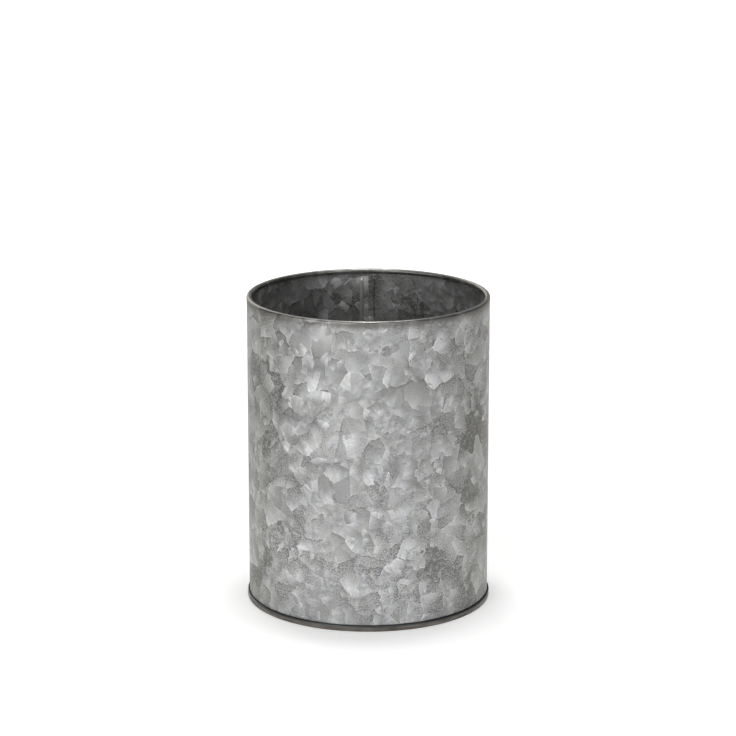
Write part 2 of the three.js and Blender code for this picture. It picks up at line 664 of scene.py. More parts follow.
class EffectGroup:
    """A shader node group that several finishes share."""

    NAME: ClassVar[str]

    def __init__(self) -> None:
        """Makes the group, with its place socket, and draws it."""
        self.tree = bpy.data.node_groups.new(self.NAME, "ShaderNodeTree")
        self.sketch = NodeSketch(self.tree)
        self.entry = self.tree.nodes.new("NodeGroupInput")
        self.exit = self.tree.nodes.new("NodeGroupOutput")
        self.tree.interface.new_socket("Place", in_out="INPUT", socket_type=SocketKind.VECTOR.value)
        self.draw()

    def draw(self) -> None:
        """Draws the effect between the group's entry and exit."""
        raise NotImplementedError

    def take(self, name: str, value: float) -> Socket:
        """Adds a number to the group's inputs.

        Args:
            name: Name of the input.
            value: Value it has unless a finish sets another.

        Returns:
            The number, inside the group.
        """
        kind = SocketKind.NUMBER.value
        self.tree.interface.new_socket(name, in_out="INPUT", socket_type=kind).default_value = value
        return self.entry.outputs[name]

    def give(self, name: str, source: Socket, kind: SocketKind = SocketKind.NUMBER) -> None:
        """Adds a number or a vector to the group's outputs."""
        self.tree.interface.new_socket(name, in_out="OUTPUT", socket_type=kind.value)
        self.tree.links.new(source, self.exit.inputs[name])

    @property
    def place(self) -> Socket:
        """The place on the surface, inside the group."""
        return self.entry.outputs["Place"]

    def use(self, sketch: NodeSketch, place: Source, **values: Source) -> bpy.types.Node:
        """Places the group in a finish.

        Args:
            sketch: Sketch of the finish's own tree.
            place: Place on the surface.
            values: Inputs that differ from the group's own.

        Returns:
            The node that stands for the group.
        """
        node = sketch.node("Group", node_tree=self.tree)
        sketch.feed(node.inputs["Place"], place)
        for name, value in values.items():
            sketch.feed(node.inputs[name], value)
        return node


@dataclass(frozen=True)
class Warp:
    """A push that makes the crystals' outlines uneven, with its size and reach in crystals."""

    cloud: Cloud
    reach: float


@dataclass(frozen=True)
class FlakeLayer:
    """One scatter of zinc crystals of about one size.

    A crystal's tail is its dark end and its tip the bright one. Its edge highlight is a painted highlight,
    a bright line along the edge of the tip, and its shade a painted shade line along the edge of the tail.
    """

    size: float
    shift: Triple
    cover: float
    tip_cover: float
    tail_cover: float
    tail: float
    dull_tip: float
    pale_tip: float
    lip_highlight: float
    shade: float


@dataclass(frozen=True)
class Flakes:
    """What one layer of crystals gives at a place."""

    strength: Socket
    tone: Socket
    lean: Socket


class Spangle(EffectGroup):
    """Overlapping zinc crystals, each bright at one end and fading into the ground at the other.

    The place is flat on the sheet, in metres.
    """

    NAME = "zinc_spangle"
    LAYERS = (
        FlakeLayer(
            size=21 * MM, shift=(3.1, 7.7, 0.0), cover=1.0, tip_cover=0.9, tail_cover=0.6,
            tail=0.26, dull_tip=0.4, pale_tip=0.66, lip_highlight=0.1, shade=0.1,
        ),
        FlakeLayer(
            size=14.5 * MM, shift=(13.4, 2.9, 0.0), cover=0.85, tip_cover=0.85, tail_cover=0.5,
            tail=0.24, dull_tip=0.42, pale_tip=0.75, lip_highlight=0.16, shade=0.12,
        ),
        FlakeLayer(
            size=11 * MM, shift=(5.9, 21.6, 0.0), cover=0.6, tip_cover=0.85, tail_cover=0.3,
            tail=0.22, dull_tip=0.45, pale_tip=0.85, lip_highlight=0.14, shade=0.08,
        ),
        FlakeLayer(
            size=7.4 * MM, shift=(31.2, 9.5, 0.0), cover=0.36, tip_cover=0.9, tail_cover=0.15,
            tail=0.2, dull_tip=0.45, pale_tip=0.85, lip_highlight=0.1, shade=0.04,
        ),
        FlakeLayer(
            size=4.6 * MM, shift=(17.3, 41.1, 0.0), cover=0.16, tip_cover=0.9, tail_cover=0.1,
            tail=0.2, dull_tip=0.45, pale_tip=0.95, lip_highlight=0.0, shade=0.0,
        ),
    )
    WARPS = (
        Warp(cloud=Cloud(size=1 / 0.9, detail=1.0), reach=0.4),
        Warp(cloud=Cloud(size=1 / 6.5, detail=1.0), reach=0.16),
    )
    HALF = (0.5, 0.5, 0.5)
    DROOP = (0.0, -0.2, 0.0)
    FADE_LOW = -0.45
    FADE_HIGH = 0.28
    LIP_HIGHLIGHT_WIDTH = 0.07
    SHADE_WIDTH = 0.1
    EDGE_START = 0.04
    EDGE_END = 0.3
    RIDGE_WIDTH = 0.04
    DULL_SHADED_HALF = 0.7
    STREAKS = Cloud(size=1.0, detail=1.0)
    STREAK_SHAPE = (14.0, 1.6, 40.0)
    STREAK_DEPTH = 0.32
    GROUND = Cloud(size=30 * MM)
    GROUND_DARK = 0.28
    GROUND_PALE = 0.44
    # Mottled painted shade that darkens the ground inside the bands with fewer crystals
    BARE_SHADE_MOTTLE = Cloud(size=2.6 * MM, detail=3.0, rough=0.6)
    BARE_SHADE_DARK = 0.2
    BARE_SHADE_PALE = 0.02
    BARE_THIN = 0.5
    BARE_GRAIN = 0.7
    GRAIN = Cloud(size=0.9 * MM, rough=0.7)
    GRAIN_SWING = 0.5
    GRAIN_DARK = 0.3
    GRAIN_PALE = 0.12
    GRAIN_FROM = 0.25
    GRAIN_TO = 0.5
    DARKEST = 0.162
    PALEST = 0.645

    def warped(self, layer: FlakeLayer) -> Socket:
        """Gives the place in a layer, in crystals, pushed about so that their outlines are uneven.

        Args:
            layer: Sizes of the layer.

        Returns:
            The place.
        """
        sketch = self.sketch
        scaled = sketch.vector(VectorStep.SCALE, self.place, 1 / layer.size)
        place = sketch.vector(VectorStep.ADD, scaled, layer.shift)
        for warp in self.WARPS:
            cloud = sketch.noise(place, warp.cloud).outputs["Color"]
            centred = sketch.vector(VectorStep.SUBTRACT, cloud, self.HALF)
            push = sketch.vector(VectorStep.SCALE, centred, warp.reach)
            place = sketch.vector(VectorStep.ADD, place, push)
        return place

    def flakes(self, layer: FlakeLayer, bare_and_shade: Socket) -> Flakes:
        """Draws one layer of crystals.

        Args:
            layer: Sizes of the layer.
            bare_and_shade: Mask of the bands with fewer crystals and painted shade; here it only thins the
                crystals.

        Returns:
            How strongly a crystal shows at a place, its tone, and how its face leans.
        """
        sketch = self.sketch
        place = self.warped(layer)
        cells = sketch.cells(place, CellMeasure.NEAREST)
        centre = cells.outputs["Position"]
        chance = sketch.node("TexWhiteNoise", noise_dimensions="2D")
        sketch.feed(chance.inputs["Vector"], centre)
        tip_chance, lip_highlight_chance, _ = sketch.split(chance.outputs["Color"])

        # Each crystal has its own direction, and a ridge along it; the duller half beside the ridge is
        # partly the zinc's pattern and partly painted shade of a fold
        local = sketch.vector(VectorStep.SUBTRACT, place, centre)
        random_way = sketch.vector(VectorStep.SUBTRACT, cells.outputs["Color"], self.HALF)
        drooped = sketch.vector(VectorStep.ADD, random_way, self.DROOP)
        way = sketch.vector(VectorStep.NORMALIZE, sketch.vector(VectorStep.MULTIPLY, drooped, FLAT))
        along = sketch.vector(VectorStep.DOT, local, way)
        across = sketch.vector(VectorStep.DOT, local, sketch.vector(VectorStep.CROSS, way, UP))
        rise = sketch.spread(along, self.FADE_LOW, self.FADE_HIGH, ease=Ease.STRAIGHT)
        half = sketch.spread(across, -self.RIDGE_WIDTH, self.RIDGE_WIDTH, self.DULL_SHADED_HALF)

        # Fine streaks run along the crystal
        drawn_out = sketch.combine(across, along, chance.outputs["Value"])
        stretched = sketch.vector(VectorStep.MULTIPLY, drawn_out, self.STREAK_SHAPE)
        streak = sketch.clouds(stretched, self.STREAKS, 1 - self.STREAK_DEPTH)
        lit = sketch.product(rise, half, streak)
        tip = sketch.spread(tip_chance, 0.0, 1.0, layer.dull_tip, layer.pale_tip, Ease.STRAIGHT)
        tone = sketch.mix(Mixture.NUMBER, lit, layer.tail, tip)

        # Painted highlight: a bright line along the tip's edge; painted shade: a dark line along the tail's
        edge = sketch.cells(place, CellMeasure.EDGE).outputs["Distance"]
        ahead = sketch.spread(along, self.EDGE_START, self.EDGE_END)
        behind = sketch.spread(along, -self.EDGE_END, -self.EDGE_START, 1.0, 0.0)
        lip_highlight = sketch.product(sketch.spread(edge, 0.0, self.LIP_HIGHLIGHT_WIDTH, layer.lip_highlight, 0.0), ahead, lip_highlight_chance)
        shade = sketch.product(sketch.spread(edge, 0.0, self.SHADE_WIDTH, layer.shade, 0.0), behind)
        tone = sketch.maths(Step.SUBTRACT, sketch.maths(Step.ADD, tone, lip_highlight), shade)

        cover = sketch.spread(bare_and_shade, 0.0, 1.0, layer.cover, layer.cover * self.BARE_THIN, Ease.STRAIGHT)
        present = sketch.maths(Step.LESS, chance.outputs["Value"], cover)
        body = sketch.spread(along, self.FADE_LOW, 0.0, layer.tail_cover, layer.tip_cover)
        return Flakes(
            strength=sketch.product(body, present),
            tone=tone,
            lean=sketch.vector(VectorStep.SCALE, way, rise),
        )

    def draw(self) -> None:
        """Lays the layers over a mottled and grained ground, the largest crystals first."""
        sketch = self.sketch
        wrinkle = self.take("Wrinkle", 1.0)
        bare_and_shade = self.take("Bare", 0.0)
        ground = sketch.clouds(self.place, self.GROUND, self.GROUND_DARK, self.GROUND_PALE)
        # Painted shade: the ground is darkened in mottled patches inside the bands with fewer crystals
        darker = sketch.clouds(self.place, self.BARE_SHADE_MOTTLE, self.BARE_SHADE_DARK, self.BARE_SHADE_PALE)
        tone = sketch.maths(Step.SUBTRACT, ground, sketch.product(bare_and_shade, darker))
        lean = ORIGIN
        for layer in self.LAYERS:
            flakes = self.flakes(layer, bare_and_shade)
            tone = sketch.mix(Mixture.NUMBER, flakes.strength, tone, flakes.tone)
            lean = sketch.mix(Mixture.VECTOR, flakes.strength, lean, flakes.lean)
        grain = sketch.clouds(self.place, self.GRAIN, -self.GRAIN_SWING, self.GRAIN_SWING)
        depth = sketch.spread(tone, self.GRAIN_FROM, self.GRAIN_TO, self.GRAIN_DARK, self.GRAIN_PALE)
        wrinkle = sketch.maths(Step.MAXIMUM, wrinkle, sketch.product(bare_and_shade, self.BARE_GRAIN))
        tone = sketch.maths(Step.ADD, tone, sketch.product(grain, depth, wrinkle))
        tone = sketch.spread(tone, self.DARKEST, self.PALEST, ease=Ease.STRAIGHT)
        self.give("Tone", tone)
        self.give("Lean", lean, SocketKind.VECTOR)


class Scuffs(EffectGroup):
    """Cloudy wear with fine streaks that run round the vessel, from rolling, seaming and handling."""

    NAME = "handling_scuffs"
    CLOUDS = Cloud(size=6 * MM, detail=3.0, rough=0.6, low=0.35, high=0.65)
    LINES = Cloud(size=1.0, rough=0.6, low=0.35, high=0.65)
    STREAK_SIZE = 0.4 * MM
    STREAKS_ROUND = 4.2
    STREAK_SHARE = 0.5

    def draw(self) -> None:
        """Draws clouds and streaks, and mixes them."""
        sketch = self.sketch
        share = self.take("Streaks", self.STREAK_SHARE)
        flat = sketch.vector(VectorStep.MULTIPLY, self.place, FLAT)
        way = sketch.vector(VectorStep.NORMALIZE, flat)
        round_about = sketch.vector(VectorStep.SCALE, way, self.STREAKS_ROUND)
        height = sketch.vector(VectorStep.MULTIPLY, self.place, UP)
        risen = sketch.vector(VectorStep.SCALE, height, 1 / self.STREAK_SIZE)
        spot = sketch.vector(VectorStep.ADD, round_about, risen)
        outwards = sketch.product(sketch.vector(VectorStep.LENGTH, flat), 1 / self.STREAK_SIZE)
        cloud = sketch.clouds(self.place, self.CLOUDS)
        line = sketch.clouds(spot, self.LINES, fourth=outwards)
        self.give("Wear", sketch.mix(Mixture.NUMBER, share, cloud, line))


class Effects:
    """The effects that the finishes share, each built once."""

    def __init__(self) -> None:
        """Builds the groups."""
        self.spangle = Spangle()
        self.scuffs = Scuffs()


@dataclass(frozen=True)
class Canvas:
    """What a finish is painted on: its shader, the place on the surface, and the shared effects."""

    sketch: NodeSketch
    shader: bpy.types.Node
    place: Socket
    effects: Effects

    def feed(self, name: str, source: Source) -> None:
        """Feeds or sets one input of the shader."""
        self.sketch.feed(self.shader.inputs[name], source)

    def emboss(self, height: Source, strength: float) -> None:
        """Feeds the shader's normal from a height in metres.

        Args:
            height: Height of the surface.
            strength: How much of it shows.
        """
        bump = self.sketch.node("Bump")
        self.sketch.feed(bump.inputs["Strength"], strength)
        self.sketch.feed(bump.inputs["Distance"], 1.0)
        self.sketch.feed(bump.inputs["Height"], height)
        self.feed("Normal", bump.outputs["Normal"])


class Finish:
    """A procedural material with one Principled shader."""

    name: str

    def make(self, effects: Effects) -> bpy.types.Material:
        """Builds the material.

        Args:
            effects: Groups that the finishes share.

        Returns:
            The material.
        """
        material = bpy.data.materials.new(self.name)
        material.use_nodes = True
        sketch = NodeSketch(material.node_tree)
        shader = material.node_tree.nodes["Principled BSDF"]
        place = sketch.node("TexCoord").outputs["Object"]
        self.paint(Canvas(sketch, shader, place, effects))
        return material

    def paint(self, canvas: Canvas) -> None:
        """Feeds the shader."""
        raise NotImplementedError


@dataclass(frozen=True)
class GalvanisedFinish(Finish):
    """Hot dip galvanised sheet with large spangle. Its rolled rim is darker, partly as the stretched zinc's
    own colour and partly as painted shade, with a painted highlight along its top, and a painted shade line
    lies in the crevice just over the bead.

    Three bands with fewer crystals run up the sheet at set angles round it; their darkened, mottled ground
    and slight warm tint are painted shade on the vessel's sides. The wrinkled ground shows most low on the
    wall.
    """

    sizes: CaddySizes
    name: str = "galvanised_sheet"
    dark: Colour = (0.15, 0.1495, 0.1455, 1.0)
    pale: Colour = (0.7, 0.705, 0.715, 1.0)
    warm_cast: Triple = (1.002, 1.0, 0.984)
    cool_cast: Triple = (0.995, 1.0, 1.012)
    casts: Cloud = Cloud(size=9 * MM, detail=3.0, rough=0.7, low=0.35, high=0.65)
    # The bands with fewer crystals are also painted shade on the vessel's sides: a darker ground and a
    # slight warm tint
    bare_shade_cast: Triple = (1.0, 1.001, 0.99)
    bare_shade_band_count: float = 3.0
    bare_shade_turn: float = math.radians(21)
    bare_shade_edges: Cloud = Cloud(size=22 * MM, detail=3.0, rough=0.6)
    bare_shade_ragged: float = 0.6
    bare_shade_full: float = -0.78
    bare_shade_none: float = 0.0
    # Painted shade: the colour of a dark line on the wall in the crevice just over the bead
    crevice_shade: Colour = (0.085, 0.086, 0.087, 1.0)
    crevice_shade_rise: float = 0.75 * MM
    grazing: Colour = (0.75, 0.735, 0.685, 1.0)
    metal_dark: float = 0.97
    metal_pale: float = 0.65
    rough_dark: float = 0.38
    rough_pale: float = 0.5
    rough_roll: float = 0.4
    # The roll's colour is partly the stretched zinc's own darker colour and partly painted shade; along its
    # top runs a painted highlight
    roll_dark: Colour = (0.1, 0.0985, 0.094, 1.0)
    roll_pale: Colour = (0.29, 0.287, 0.278, 1.0)
    roll_depth: float = 6.5 * MM
    rubbed_sheen: Colour = (0.33, 0.327, 0.312, 1.0)
    rim_highlight_depth: float = 0.4 * MM
    stain: Colour = (0.18, 0.2, 0.222, 1.0)
    blots: Cloud = Cloud(size=5 * MM, detail=3.0, rough=0.65, low=0.42, high=0.58)
    stain_low: float = 4 * MM
    stain_high: float = 15 * MM
    stain_most: float = 0.24
    tilt: Triple = (0.22, 0.13, 0.0)
    wrinkle_low: float = 40 * MM
    wrinkle_high: float = 110 * MM
    wrinkle_least: float = 0.5
    wrinkles: Cloud = Cloud(size=28 * MM, low=0.38, high=0.6)
    wrinkle_faint: float = 0.25

    def paint(self, canvas: Canvas) -> None:
        """Feeds the shader with spangle, a dark rim with a painted highlight on top, stain, and a painted
        shade line in the crevice over the bead.

        Args:
            canvas: What the finish is painted on.
        """
        sketch = canvas.sketch
        sizes = self.sizes
        aside, back, height = sketch.split(canvas.place)
        angle = sketch.maths(Step.ANGLE, aside, sketch.product(back, -1.0))
        flat = sketch.combine(sketch.product(angle, sizes.wall_middle), height)
        low = sketch.spread(height, self.wrinkle_low, self.wrinkle_high, 1.0, self.wrinkle_least)
        wrinkle = sketch.product(low, sketch.clouds(canvas.place, self.wrinkles, self.wrinkle_faint))
        # Bands with fewer crystals, darkened and tinted as painted shade on the vessel's sides
        bare_and_shade = self.bare_shade_bands(canvas, angle)
        spangle = canvas.effects.spangle.use(sketch, flat, Wrinkle=wrinkle, Bare=bare_and_shade)
        tone = spangle.outputs["Tone"]
        colour = self.spangle_colour(canvas, tone, bare_and_shade)
        near_foot = sketch.spread(height, self.stain_low, self.stain_high, self.stain_most, 0.0)
        stained = sketch.product(sketch.clouds(canvas.place, self.blots), near_foot)
        colour = sketch.mix(Mixture.COLOUR, stained, colour, self.stain)
        # Painted shade on the roll, partly the stretched zinc's own darker colour, and a painted highlight
        # along its top
        roll = sketch.spread(height, sizes.height - self.roll_depth, sizes.roll_centre_height)
        top = sketch.spread(height, sizes.height - self.rim_highlight_depth, sizes.height - self.rim_highlight_depth / 2)
        rolled = sketch.mix(Mixture.COLOUR, tone, self.roll_dark, self.roll_pale)
        roll_with_highlight = sketch.mix(Mixture.COLOUR, top, rolled, self.rubbed_sheen)
        colour = sketch.mix(Mixture.COLOUR, roll, colour, roll_with_highlight)
        # Painted shade in the crevice: the wall turns dark just over the bead
        foot = sketch.spread(height, sizes.seam_height, sizes.seam_height + self.crevice_shade_rise, 1.0, 0.0)
        canvas.feed("Base Color", sketch.mix(Mixture.COLOUR, foot, colour, self.crevice_shade))
        rough = sketch.spread(tone, 0.0, 1.0, self.rough_dark, self.rough_pale, Ease.STRAIGHT)
        canvas.feed("Roughness", sketch.mix(Mixture.NUMBER, roll, rough, self.rough_roll))
        metal = sketch.spread(tone, 0.0, 1.0, self.metal_dark, self.metal_pale, Ease.STRAIGHT)
        canvas.feed("Metallic", metal)
        canvas.feed("Specular Tint", self.grazing)
        self.lean(canvas, spangle.outputs["Lean"])

    def bare_shade_bands(self, canvas: Canvas, angle: Socket) -> Socket:
        """Draws the bands with fewer crystals and painted shade, with ragged edges, at set angles round the
        vessel.

        Args:
            canvas: What the finish is painted on.
            angle: Angle round the vessel.

        Returns:
            How thin in crystals the sheet is, and how far painted shade darkens and tints it.
        """
        sketch = canvas.sketch
        turns = sketch.product(angle, self.bare_shade_band_count)
        wave = sketch.maths(Step.COSINE, sketch.maths(Step.ADD, turns, self.bare_shade_turn))
        reach = self.bare_shade_ragged
        ragged = sketch.clouds(canvas.place, self.bare_shade_edges, -reach, reach, Ease.STRAIGHT)
        level = sketch.maths(Step.ADD, wave, ragged)
        return sketch.spread(level, self.bare_shade_full, self.bare_shade_none, 1.0, 0.0)

    def spangle_colour(self, canvas: Canvas, tone: Socket, bare_and_shade: Socket) -> Socket:
        """Colours the spangle, a little warmer here and cooler there.

        Args:
            canvas: What the finish is painted on.
            tone: Tone of the spangle.
            bare_and_shade: How thin in crystals the sheet is, and how far painted shade tints it.

        Returns:
            The colour.
        """
        sketch = canvas.sketch
        colour = sketch.mix(Mixture.COLOUR, tone, self.dark, self.pale)
        cooler = sketch.clouds(canvas.place, self.casts)
        cast = sketch.mix(Mixture.VECTOR, cooler, self.warm_cast, self.cool_cast)
        # Painted shade: a slight warm tint inside the shaded bands
        cast = sketch.mix(Mixture.VECTOR, bare_and_shade, cast, self.bare_shade_cast)
        return sketch.vector(VectorStep.MULTIPLY, colour, cast)

    def lean(self, canvas: Canvas, lean: Socket) -> None:
        """Turns the shader's normal along the sheet, as each crystal's face leans.

        Args:
            canvas: What the finish is painted on.
            lean: Lean round the vessel and up it.
        """
        sketch = canvas.sketch
        facing = sketch.node("NewGeometry").outputs["Normal"]
        sideways, upwards, _ = sketch.split(sketch.vector(VectorStep.MULTIPLY, lean, self.tilt))
        turned = sketch.vector(VectorStep.SCALE, sketch.vector(VectorStep.CROSS, UP, facing), sideways)
        leaning = sketch.vector(VectorStep.ADD, turned, sketch.combine(0.0, 0.0, upwards))
        normal = sketch.vector(VectorStep.NORMALIZE, sketch.vector(VectorStep.ADD, facing, leaning))
        canvas.feed("Normal", normal)


@dataclass(frozen=True)
class BaseSteelFinish(Finish):
    """Dull base sheet: darkened and streaked by the seaming rolls on the bead, with painted shade along the
    bead's top in the crevice against the wall, dully spangled inside it.
    """

    sizes: CaddySizes
    name: str = "dull_base_sheet"
    bead_dark: Colour = (0.07, 0.064, 0.054, 1.0)
    bead_pale: Colour = (0.222, 0.208, 0.187, 1.0)
    floor_dark: Colour = (0.19, 0.186, 0.178, 1.0)
    floor_pale: Colour = (0.46, 0.455, 0.44, 1.0)
    # Painted shade along the top of the bead, in the crevice against the wall
    crevice_shade: Colour = (0.07, 0.07, 0.071, 1.0)
    crevice_shade_start: float = 1.3 * MM
    crevice_shade_end: float = 0.6 * MM
    floor_edge: float = 3 * MM
    scuffed: float = 0.25
    streaks: float = 0.8
    metallic: float = 0.8
    rough_bead: float = 0.45
    rough_floor: float = 0.5
    smoothed: float = 0.1
    ridge: float = 0.02 * MM
    ridge_share: float = 0.5

    def paint(self, canvas: Canvas) -> None:
        """Feeds the shader with streaks and a painted shade line on the bead, and spangle and scuffs on the
        floor.

        Args:
            canvas: What the finish is painted on.
        """
        sketch = canvas.sketch
        wear = canvas.effects.scuffs.use(sketch, canvas.place, Streaks=self.streaks).outputs["Wear"]
        flat = sketch.vector(VectorStep.MULTIPLY, canvas.place, FLAT)
        radius = sketch.vector(VectorStep.LENGTH, flat)
        edge = self.sizes.neck_middle
        on_floor = sketch.spread(radius, edge - self.floor_edge, edge, 1.0, 0.0)
        tone = canvas.effects.spangle.use(sketch, flat).outputs["Tone"]
        worn_tone = sketch.mix(Mixture.NUMBER, self.scuffed, tone, wear)
        _, _, height = sketch.split(canvas.place)
        top = self.sizes.seam_height
        # Painted shade: the bead's top darkens towards the crevice against the wall
        shoulder = sketch.spread(height, top - self.crevice_shade_start, top - self.crevice_shade_end)
        bead = sketch.mix(Mixture.COLOUR, wear, self.bead_dark, self.bead_pale)
        bead = sketch.mix(Mixture.COLOUR, shoulder, bead, self.crevice_shade)
        floor = sketch.mix(Mixture.COLOUR, worn_tone, self.floor_dark, self.floor_pale)
        canvas.feed("Base Color", sketch.mix(Mixture.COLOUR, on_floor, bead, floor))
        rough = sketch.mix(Mixture.NUMBER, on_floor, self.rough_bead, self.rough_floor)
        rubbed_sheen = sketch.product(wear, self.smoothed)
        canvas.feed("Roughness", sketch.maths(Step.SUBTRACT, rough, rubbed_sheen))
        canvas.feed("Metallic", self.metallic)
        canvas.emboss(sketch.product(wear, self.ridge), self.ridge_share)


@dataclass(frozen=True)
class WornMetalFinish(Finish):
    """Plain metal with handling scuffs, for the wire and the solder."""

    name: str
    dark: Colour
    pale: Colour
    rough_dark: float
    rough_pale: float
    metallic: float = 0.9
    ridge: float = 0.03 * MM
    ridge_share: float = 0.5

    def paint(self, canvas: Canvas) -> None:
        """Feeds the shader with scuffs.

        Args:
            canvas: What the finish is painted on.
        """
        sketch = canvas.sketch
        wear = canvas.effects.scuffs.use(sketch, canvas.place).outputs["Wear"]
        canvas.feed("Base Color", sketch.mix(Mixture.COLOUR, wear, self.dark, self.pale))
        rough = sketch.spread(wear, 0.0, 1.0, self.rough_dark, self.rough_pale, Ease.STRAIGHT)
        canvas.feed("Roughness", rough)
        canvas.feed("Metallic", self.metallic)
        canvas.emboss(sketch.product(wear, self.ridge), self.ridge_share)


@dataclass(frozen=True)
class CompoundFinish(Finish):
    """Cured sealing compound, dull and slightly mottled."""

    name: str = "seam_compound"
    dark: Colour = (0.02, 0.02, 0.02, 1.0)
    pale: Colour = (0.045, 0.045, 0.045, 1.0)
    rough_dark: float = 0.85
    rough_pale: float = 0.7

    def paint(self, canvas: Canvas) -> None:
        """Feeds the shader with mottle.

        Args:
            canvas: What the finish is painted on.
        """
        sketch = canvas.sketch
        wear = canvas.effects.scuffs.use(sketch, canvas.place).outputs["Wear"]
        canvas.feed("Base Color", sketch.mix(Mixture.COLOUR, wear, self.dark, self.pale))
        canvas.feed("Roughness", sketch.spread(wear, 0.0, 1.0, self.rough_dark, self.rough_pale))


SOLDER_FINISH = WornMetalFinish(
    name="run_solder",
    dark=(0.36, 0.36, 0.355, 1.0),
    pale=(0.55, 0.55, 0.54, 1.0),
    rough_dark=0.45,
    rough_pale=0.3,
)
WIRE_FINISH = WornMetalFinish(
    name="drawn_wire",
    dark=(0.2, 0.2, 0.205, 1.0),
    pale=(0.34, 0.345, 0.35, 1.0),
    rough_dark=0.5,
    rough_pale=0.36,
)


@dataclass
class FormedPiece:
    """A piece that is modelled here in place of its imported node."""

    sizes: CaddySizes
    weld_gap: float = 0.002 * MM

    NAME: ClassVar[str]
    NODE: ClassVar[str]
    SLOT: ClassVar[Slot]

    def build(self) -> Piece:
        """Models the piece."""
        raise NotImplementedError

    def dress(self, piece: Piece, material: bpy.types.Material) -> None:
        """Gives the built piece its finish and its place in the frame.

        Args:
            piece: The built piece.
            material: Its finish.
        """
        piece.data.materials.append(material)
        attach(piece, BODY)
        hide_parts(self.NODE)


